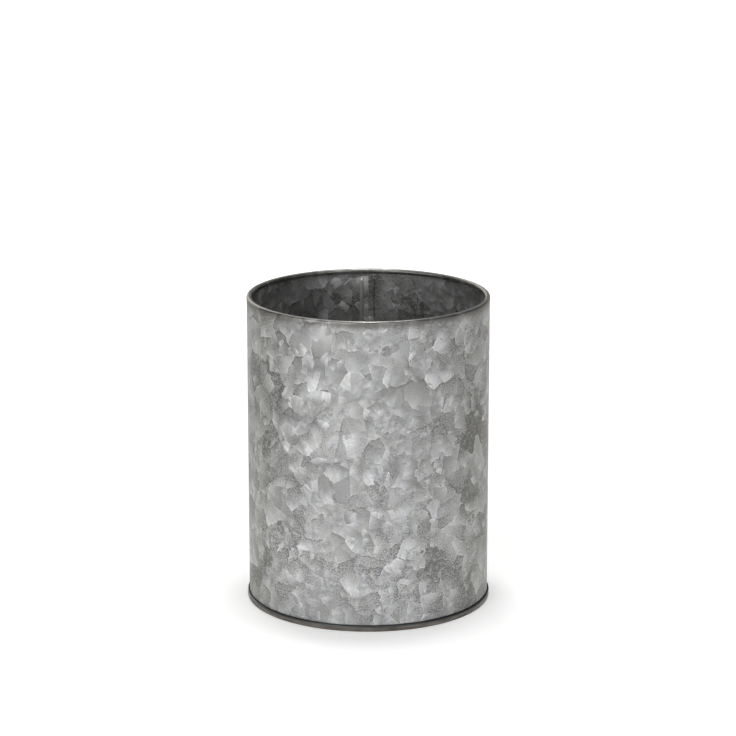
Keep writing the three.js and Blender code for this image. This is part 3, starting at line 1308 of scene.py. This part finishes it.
@dataclass
class WallSheet(FormedPiece):
    """The rolled wall: hooked at the foot, rolled round a wire at the rim and locked at the back."""

    round_steps: int = 224
    left_steps: int = 3
    right_steps: int = 1
    row_pitch: float = 5 * MM
    fold_step: float = math.radians(30)
    roll_step: float = math.radians(15)
    ease_step: float = math.radians(4)
    smooth_angle: float = math.radians(40)

    NAME = "galvanised_wall"
    NODE = "wall_sheet"
    SLOT = Slot.WALL

    def profile(self) -> list[Spot]:
        """Walks the wall's section, from the tip of its hook to the edge inside the roll.

        Returns:
            Radius and height of each place.
        """
        sizes = self.sizes
        ease_turn = 2 * math.atan(sizes.rim_stand / sizes.rim_ease)
        ease_radius = sizes.rim_ease / (2 * math.sin(ease_turn))
        edge_reach = sizes.wall_inside - sizes.fold_gap - sizes.roll_centre_radius
        roll_turn = FULL_TURN - math.acos(edge_reach / sizes.roll_radius)
        roll_middle = sizes.roll_radius - sizes.wall_sheet / 2
        walk = SheetWalk((sizes.wall_hook_middle, sizes.wall_hook_tip), -QUARTER_TURN)
        walk.run(sizes.wall_hook_tip - sizes.wall_fold_height)
        walk.bend(sizes.wall_fold_radius, -math.pi, self.fold_step)
        walk.run(sizes.side_seam_bottom - sizes.wall_fold_height, self.row_pitch)
        walk.run(sizes.side_seam_top - sizes.side_seam_bottom, self.row_pitch)
        walk.run(sizes.side_seam_notch, self.row_pitch)
        walk.bend(ease_radius, -ease_turn, self.ease_step)
        walk.bend(ease_radius, ease_turn, self.ease_step)
        walk.bend(roll_middle, QUARTER_TURN, self.roll_step)
        walk.bend(roll_middle, roll_turn - QUARTER_TURN, self.roll_step)
        return walk.spots

    def over_edge(self) -> list[Spot]:
        """Walks the edge that lies on the outside of the side seam and hooks back under itself.

        Returns:
            Distance along the wall and depth of each place.
        """
        sizes = self.sizes
        walk = SheetWalk((-sizes.side_seam_left, 0.0), 0.0)
        walk.run(sizes.side_seam_left + sizes.hook_bend, sizes.solder_width)
        walk.bend(sizes.layer_pitch, -math.pi, self.fold_step)
        walk.run(2 * sizes.hook_bend, sizes.solder_width)
        return walk.spots

    def under_edge(self) -> list[Spot]:
        """Walks the other edge, which steps in under that hook and turns back out into it.

        Returns:
            Distance along the wall and depth of each place.
        """
        sizes = self.sizes
        under_run = sizes.side_seam_width / 2 + sizes.layer_pitch - sizes.joggle_radius + sizes.hook_bend
        walk = SheetWalk((sizes.side_seam_right, 0.0), math.pi)
        walk.bend(sizes.joggle_radius, QUARTER_TURN, self.fold_step)
        walk.bend(sizes.joggle_radius, -QUARTER_TURN, self.fold_step)
        walk.run(under_run, sizes.solder_width)
        walk.bend(sizes.layer_pitch, -math.pi, self.fold_step)
        walk.run(2 * sizes.hook_bend, sizes.solder_width)
        return walk.spots

    def turned(self, name: str, spots: Sequence[Spot], start: float, end: float, steps: int) -> Piece:
        """Spins part of the section round the vessel.

        Args:
            name: Name of the new piece.
            spots: Radius and height of each place of the section.
            start: Where the spin starts, along the wall from the side seam.
            end: Where it ends.
            steps: Number of pieces round it.

        Returns:
            The new piece.
        """
        places = [self.sizes.place(start, radius, height) for radius, height in spots]
        piece = Bench.begin(name, places[0])
        Bench.extrude_along(places)
        Bench.spin((end - start) / self.sizes.wall_middle, steps)
        Bench.close()
        return piece

    def hooked(self, name: str, heights: Sequence[float], path: Sequence[Spot]) -> Piece:
        """Extrudes an upright edge of the wall along the plan of its hook.

        Args:
            name: Name of the new piece.
            heights: Heights of the edge's vertices.
            path: Distance along the wall and depth of each place of the hook.

        Returns:
            The new piece.
        """
        middle = self.sizes.wall_middle
        along, depth = path[0]
        upright = [self.sizes.place(along, middle + depth, height) for height in heights]
        piece = Bench.begin(name, upright[0])
        Bench.extrude_along(upright)
        bpy.ops.mesh.select_all(action="SELECT")
        Bench.extrude_along([self.sizes.place(along, middle + depth, 0.0) for along, depth in path])
        Bench.close()
        return piece

    def build(self) -> Piece:
        """Builds the wall from its section and its two hooked edges.

        Returns:
            The finished wall.
        """
        sizes = self.sizes
        spots = self.profile()
        bottom = sizes.side_seam_bottom
        top = sizes.side_seam_top - self.weld_gap
        lower_end = next(i for i, spot in enumerate(spots) if abs(spot[1] - bottom) < self.weld_gap)
        upper_start = next(i for i, spot in enumerate(spots) if spot[1] > top)
        lower = spots[: lower_end + 1]
        upper = spots[upper_start:]
        heights = [height for _, height in spots[lower_end : upper_start + 1]]
        butt = sizes.side_seam_width / 2 + sizes.layer_pitch / 2
        butt_left = butt - sizes.butt_gap / 2
        butt_right = butt + sizes.butt_gap / 2
        left = -sizes.side_seam_left
        right = sizes.side_seam_right
        wall_end = FULL_TURN * sizes.wall_middle + left
        wall = self.turned(self.NAME, spots, right, wall_end, self.round_steps)
        edges = [
            self.turned("top_left", upper, left, butt_left, self.left_steps),
            self.turned("top_right", upper, butt_right, right, self.right_steps),
            self.turned("bottom_left", lower, left, butt_left, self.left_steps),
            self.turned("bottom_right", lower, butt_right, right, self.right_steps),
            self.hooked("over_edge", heights, self.over_edge()),
            self.hooked("under_edge", heights, self.under_edge()),
        ]
        Bench.join(wall, edges)
        Bench.weld(wall, self.weld_gap)
        Bench.thicken(wall, sizes.wall_sheet)
        Bench.smooth(wall, self.smooth_angle)
        return wall


@dataclass
class BasePan(FormedPiece):
    """The base: a pan whose edge is folded round the wall's hook as a double seam."""

    round_steps: int = 224
    ring_pitch: float = 8 * MM
    fold_step: float = math.radians(22.5)
    smooth_angle: float = math.radians(40)

    NAME = "seamed_base"
    NODE = "base_pan"
    SLOT = Slot.BASE

    def profile(self) -> list[Spot]:
        """Walks the pan's section, from the middle of the floor to the edge inside the seam.

        Returns:
            Radius and height of each place.
        """
        sizes = self.sizes
        seam_width = sizes.skirt_middle - sizes.neck_middle
        corner = sizes.seam_corner
        floor_middle = sizes.floor_height + sizes.base_sheet / 2
        foot_middle = sizes.base_sheet / 2
        walk = SheetWalk((0.0, floor_middle), 0.0)
        walk.run(sizes.neck_middle - sizes.floor_corner, self.ring_pitch)
        walk.bend(sizes.floor_corner, -QUARTER_TURN, self.fold_step)
        walk.run(floor_middle - sizes.floor_corner - corner - foot_middle)
        walk.bend(corner, QUARTER_TURN, self.fold_step)
        walk.run(seam_width - 2 * corner)
        walk.bend(corner, QUARTER_TURN, self.fold_step)
        walk.run(sizes.pan_fold_height - corner - foot_middle)
        walk.bend(sizes.pan_fold_radius, math.pi, self.fold_step)
        walk.run(sizes.pan_fold_height - sizes.wall_fold_height - sizes.fold_gap)
        return walk.spots

    def build(self) -> Piece:
        """Spins the pan's section and gives it its thickness.

        Returns:
            The finished base.
        """
        places = [self.sizes.place(0.0, radius, height) for radius, height in self.profile()]
        base = Bench.begin(self.NAME, places[0])
        Bench.extrude_along(places)
        Bench.spin(FULL_TURN, self.round_steps)
        Bench.close()
        Bench.weld(base, self.weld_gap)
        Bench.thicken(base, self.sizes.base_sheet)
        Bench.smooth(base, self.smooth_angle)
        return base


@dataclass
class SolderFillet(FormedPiece):
    """The solder run down the side seam, in the angle between the wall and the seam's fold."""

    row_pitch: float = 1.5 * MM
    bite: float = 0.03 * MM
    toe: float = 0.05 * MM
    hollow: float = 0.27 * MM
    face_steps: int = 6
    crest: Spot = (-0.6, -0.8)
    fold_ways: tuple[Spot, ...] = ((-0.8, -0.6), (-1.0, 0.0), (-0.6, 0.8))
    end_length: float = 1.2 * MM
    end_shrink: float = 0.5
    ripple: float = 0.35 * MM
    ripple_size: float = 4.5 * MM
    rounding: int = 1
    smooth_angle: float = math.radians(60)

    NAME = "run_solder_fillet"
    NODE = "side_seam_solder"
    SLOT = Slot.SOLDER

    @property
    def wall_face(self) -> float:
        """Depth of the wall's inner face."""
        return -self.sizes.wall_sheet / 2

    @property
    def fold_radius(self) -> float:
        """Outer radius of the seam's fold."""
        return self.sizes.layer_pitch + self.sizes.wall_sheet / 2

    def on_fold(self, way: Spot, radius: float) -> Spot:
        """Gives a place on the fold's section, from a direction and a distance from the fold's middle."""
        sizes = self.sizes
        return (way[0] * radius - sizes.hook_bend, way[1] * radius - 2 * sizes.layer_pitch)

    def face(self) -> list[Spot]:
        """Curves from the thin edge on the wall up to the crest on the fold.

        Returns:
            Distance along the wall and depth of each place.
        """
        heel = -self.sizes.hook_bend - self.fold_radius
        start = (heel - self.sizes.solder_width, self.wall_face - self.toe)
        middle = (heel - self.hollow, self.wall_face - self.hollow)
        end = self.on_fold(self.crest, self.fold_radius + self.toe)
        spots = []
        for step in range(self.face_steps + 1):
            share = step / self.face_steps
            first, second, third = (1 - share) ** 2, 2 * share * (1 - share), share**2
            along = first * start[0] + second * middle[0] + third * end[0]
            depth = first * start[1] + second * middle[1] + third * end[1]
            spots.append((along, depth))
        return spots

    def outline(self) -> list[Spot]:
        """Closes the face along the fold and the wall, a little way into both.

        Returns:
            Distance along the wall and depth of each place, with the first one again at the end.
        """
        face = self.face()
        fold = [self.on_fold(way, self.fold_radius - self.bite) for way in self.fold_ways]
        inside = self.wall_face + self.bite
        return face + fold + [(fold[-1][0], inside), (face[0][0], inside), face[0]]

    def shrink_end(self, rise: float) -> None:
        """Extrudes the selected end loop and shrinks it towards the angle of the seam.

        Args:
            rise: How far it goes, negative downwards.
        """
        corner = self.sizes.place(self.face()[-1][0], self.sizes.wall_inside, 0.0)
        bpy.ops.mesh.extrude_region_move(TRANSFORM_OT_translate={"value": (0.0, 0.0, rise)})
        value = (self.end_shrink, self.end_shrink, 1.0)
        bpy.ops.transform.resize(value=value, center_override=corner)

    def select_row(self, solder: Piece, height: float) -> None:
        """Selects the loop of vertices at one height, and stays in edit mode.

        Args:
            solder: The piece.
            height: Height of the loop.
        """
        bpy.ops.mesh.select_all(action="DESELECT")
        Bench.close()
        for vertex in solder.data.vertices:
            vertex.select = abs(vertex.co.z - height) < self.weld_gap
        bpy.ops.object.mode_set(mode="EDIT")

    def ripple_face(self, solder: Piece) -> None:
        """Makes the free face uneven, as solder sets, and leaves edit mode.

        Args:
            solder: The piece.
        """
        middle = self.sizes.wall_middle
        bpy.ops.mesh.select_all(action="DESELECT")
        Bench.close()
        centre_along, centre_depth = self.on_fold((0.0, 0.0), 0.0)
        for vertex in solder.data.vertices:
            along = math.atan2(vertex.co.x, vertex.co.y) * middle
            depth = math.hypot(vertex.co.x, vertex.co.y) - middle
            from_fold = math.hypot(along - centre_along, depth - centre_depth)
            vertex.select = from_fold > self.fold_radius and depth < self.wall_face - self.toe / 2
        bpy.ops.object.mode_set(mode="EDIT")
        bpy.ops.object.vertex_group_assign_new()
        Bench.close()
        clouds = bpy.data.textures.new("solder_ripple", "CLOUDS")
        clouds.noise_scale = self.ripple_size
        free_face = solder.vertex_groups[-1].name
        Bench.modify(
            solder, Modifier.RIPPLE, texture=clouds, strength=self.ripple, vertex_group=free_face
        )
        bpy.data.textures.remove(clouds)

    def build(self) -> Piece:
        """Extrudes the fillet's outline up the seam, closes its ends and lets it ripple.

        Returns:
            The finished fillet.
        """
        sizes = self.sizes
        bottom = sizes.side_seam_bottom + self.end_length
        top = sizes.side_seam_top - self.end_length
        rows = math.ceil((top - bottom) / self.row_pitch)
        middle = sizes.wall_middle
        places = [sizes.place(along, middle + depth, bottom) for along, depth in self.outline()]
        solder = Bench.begin(self.NAME, places[0])
        Bench.extrude_along(places)
        bpy.ops.mesh.select_all(action="SELECT")
        bpy.ops.mesh.remove_doubles(threshold=self.weld_gap)
        bpy.ops.mesh.select_all(action="SELECT")
        Bench.extrude_along([Vector((0.0, 0.0, row * (top - bottom) / rows)) for row in range(rows + 1)])
        self.shrink_end(self.end_length)
        self.select_row(solder, bottom)
        self.shrink_end(-self.end_length)
        bpy.ops.mesh.select_all(action="SELECT")
        bpy.ops.mesh.fill_holes(sides=0)
        self.ripple_face(solder)
        Bench.weld(solder, self.weld_gap)
        Bench.modify(solder, Modifier.ROUNDING, levels=self.rounding, render_levels=self.rounding)
        Bench.smooth(solder, self.smooth_angle)
        return solder


@dataclass(frozen=True)
class CarriedNode:
    """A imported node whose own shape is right, and which only needs its finish."""

    node: str

    def dress(self, material: bpy.types.Material) -> Piece:
        """Puts the finish in each of the node's material slots.

        Args:
            material: The finish.

        Returns:
            The node's object.
        """
        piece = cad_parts[self.node]
        for slot in piece.material_slots:
            slot.material = material
        return piece


@dataclass(frozen=True)
class LightPanel:
    """A soft upright panel of light in the room's wall, turned to the right from straight in front."""

    turn: float
    strength: float


@dataclass(frozen=True)
class SoftLamp:
    """A soft lamp over the floor, with its length from front to back."""

    name: str
    place: Triple
    width: float
    length: float
    watts: float


@dataclass
class Studio:
    """Plain pale floor, soft light and the camera.

    The floor glows by what its own light lacks to white: in a strip that runs past the object from
    front to back, more at the back of it, and all round far from the object.
    """

    floor_span: float = 30.0
    floor_white: Colour = (0.8, 0.8, 0.8, 1.0)
    near_glow: float = 0.35
    near_inner: float = 0.22
    near_outer: float = 0.6
    back_glow: float = 0.48
    back_start: float = 0.25
    back_end: float = 0.9
    far_glow: float = 0.78
    far_start: float = 0.5
    far_end: float = 1.6
    room_light: float = 0.04
    front_colour: Colour = (1.0, 1.0, 1.0, 1.0)
    side_colour: Colour = (1.0, 0.99, 0.94, 1.0)
    warm_start: float = math.radians(38)
    warm_end: float = math.radians(70)
    panel_reach: float = math.radians(30)
    panel_low: float = 0.5
    panel_high: float = 0.9
    panels: tuple[LightPanel, ...] = (
        LightPanel(turn=math.radians(-60), strength=0.9),
        LightPanel(turn=math.radians(-30), strength=4.15),
        LightPanel(turn=math.radians(30), strength=2.4),
        LightPanel(turn=math.radians(60), strength=0.1),
        LightPanel(turn=math.radians(-150), strength=2.8),
        LightPanel(turn=math.radians(150), strength=0.6),
    )
    lamps: tuple[SoftLamp, ...] = (
        SoftLamp(name="overhead_lamp", place=(0.01, 0.04, 1.6), width=0.3, length=0.25, watts=4.5),
        SoftLamp(name="rear_lamp", place=(0.035, 0.17, 1.6), width=0.4, length=0.25, watts=8.5),
    )
    lens: float = 135.55
    sensor_width: float = 36.0
    pitch: float = math.radians(14.33)
    distance: float = 1.6287
    aim_height: float = 0.1383
    side_step: float = -0.0002

    RAYS = ("Is Camera Ray", "Is Glossy Ray", "Is Transmission Ray")

    def add_floor(self) -> None:
        """Lays the floor, which shows white to the camera and keeps the object's shadow."""
        bpy.ops.object.select_all(action="DESELECT")
        bpy.ops.mesh.primitive_plane_add(size=self.floor_span)
        floor = bpy.context.object
        floor.name = "studio_floor"
        material = bpy.data.materials.new("pale_floor")
        material.use_nodes = True
        tree = material.node_tree
        sketch = NodeSketch(tree)
        tree.nodes.remove(tree.nodes["Principled BSDF"])
        matt = sketch.node("BsdfDiffuse")
        sketch.feed(matt.inputs["Color"], self.floor_white)
        glow = sketch.node("Emission")
        sketch.feed(glow.inputs["Strength"], self.white_ground(sketch))
        both = sketch.node("AddShader")
        sketch.feed(both.inputs[0], matt.outputs[0])
        sketch.feed(both.inputs[1], glow.outputs[0])
        sketch.feed(tree.nodes["Material Output"].inputs["Surface"], both.outputs[0])
        floor.data.materials.append(material)

    def white_ground(self, sketch: NodeSketch) -> Source:
        """Draws how much the lit floor lacks to white, near the object and far from it.

        Args:
            sketch: Sketch of the floor's material.

        Returns:
            The strength of the floor's own glow, for what sees it directly or mirrors it.
        """
        place = sketch.node("TexCoord").outputs["Object"]
        across, back, _ = sketch.split(place)
        aside = sketch.maths(Step.ABSOLUTE, across)
        strip = sketch.spread(aside, self.near_inner, self.near_outer, 1.0, 0.0)
        along = sketch.spread(back, self.back_start, self.back_end, self.near_glow, self.back_glow)
        away = sketch.vector(VectorStep.LENGTH, place)
        far = sketch.spread(away, self.far_start, self.far_end, 0.0, self.far_glow)
        lacking = sketch.maths(Step.ADD, sketch.product(strip, along), far)
        path = sketch.node("LightPath")
        seen = path.outputs[self.RAYS[0]]
        for ray in self.RAYS[1:]:
            seen = sketch.maths(Step.MAXIMUM, seen, path.outputs[ray])
        return sketch.product(lacking, seen)

    def add_room(self) -> None:
        """Surrounds the scene with a dim room that has soft panels of light in its wall."""
        world = bpy.data.worlds.new("studio_room")
        bpy.context.scene.world = world
        world.use_nodes = True
        sketch = NodeSketch(world.node_tree)
        background = world.node_tree.nodes["Background"]
        aside, back, upwards = sketch.split(sketch.node("TexCoord").outputs["Generated"])
        turn = sketch.maths(Step.ANGLE, aside, sketch.product(back, -1.0))
        low = sketch.spread(upwards, self.panel_low, self.panel_high, 1.0, 0.0)
        light = self.room_light
        for panel in self.panels:
            off_panel = sketch.maths(Step.ABSOLUTE, sketch.maths(Step.SUBTRACT, turn, panel.turn))
            soft = sketch.spread(off_panel, 0.0, self.panel_reach, panel.strength, 0.0)
            light = sketch.maths(Step.ADD, sketch.product(soft, low), light)
        sketch.feed(background.inputs["Strength"], light)
        to_side = sketch.spread(sketch.maths(Step.ABSOLUTE, turn), self.warm_start, self.warm_end)
        colour = sketch.mix(Mixture.COLOUR, to_side, self.front_colour, self.side_colour)
        sketch.feed(background.inputs["Color"], colour)

    def add_lamp(self, lamp: SoftLamp) -> None:
        """Hangs a lamp that faces the object.

        Args:
            lamp: The lamp's place, size and strength.
        """
        aim = Vector((0.0, 0.0, self.aim_height)) - Vector(lamp.place)
        turn = aim.to_track_quat("-Z", "Y").to_euler()
        bpy.ops.object.light_add(type="AREA", location=lamp.place, rotation=turn)
        light = bpy.context.object
        light.name = lamp.name
        light.data.shape = "RECTANGLE"
        light.data.size = lamp.width
        light.data.size_y = lamp.length
        light.data.energy = lamp.watts

    def add_camera(self) -> None:
        """Sets the camera at the photograph's viewing angle."""
        back = -self.distance * math.cos(self.pitch)
        height = self.aim_height + self.distance * math.sin(self.pitch)
        rotation = (QUARTER_TURN - self.pitch, 0.0, 0.0)
        bpy.ops.object.camera_add(location=(self.side_step, back, height), rotation=rotation)
        camera = bpy.context.object
        camera.data.lens = self.lens
        camera.data.sensor_width = self.sensor_width
        bpy.context.scene.camera = camera

    def build(self) -> None:
        """Adds the floor, the room, the lamps and the camera."""
        self.add_floor()
        self.add_room()
        for lamp in self.lamps:
            self.add_lamp(lamp)
        self.add_camera()
        bpy.context.scene.view_settings.view_transform = "Standard"


def main() -> None:
    """Builds the studio, builds and dresses the pieces in order, and logs each piece."""
    logging.basicConfig(level=logging.INFO, format="%(name)s: %(message)s")
    sizes = CaddySizes(height=cad_box[1].z - cad_box[0].z)
    effects = Effects()
    Studio().build()

    assemblies = (
        (WallSheet(sizes), GalvanisedFinish(sizes)),
        (BasePan(sizes), BaseSteelFinish(sizes)),
        (SolderFillet(sizes), SOLDER_FINISH),
    )
    for assembly, finish in assemblies:
        piece = assembly.build()
        assembly.dress(piece, finish.make(effects))
        log.info("%s has %d faces", piece.name, len(piece.data.polygons))

    carried = (
        (CarriedNode("rim_wire"), WIRE_FINISH),
        (CarriedNode("base_seam_compound"), CompoundFinish()),
    )
    for node, finish in carried:
        piece = node.dress(finish.make(effects))
        log.info("%s keeps its packed shape", piece.name)


if __name__ == "__main__":
    main()
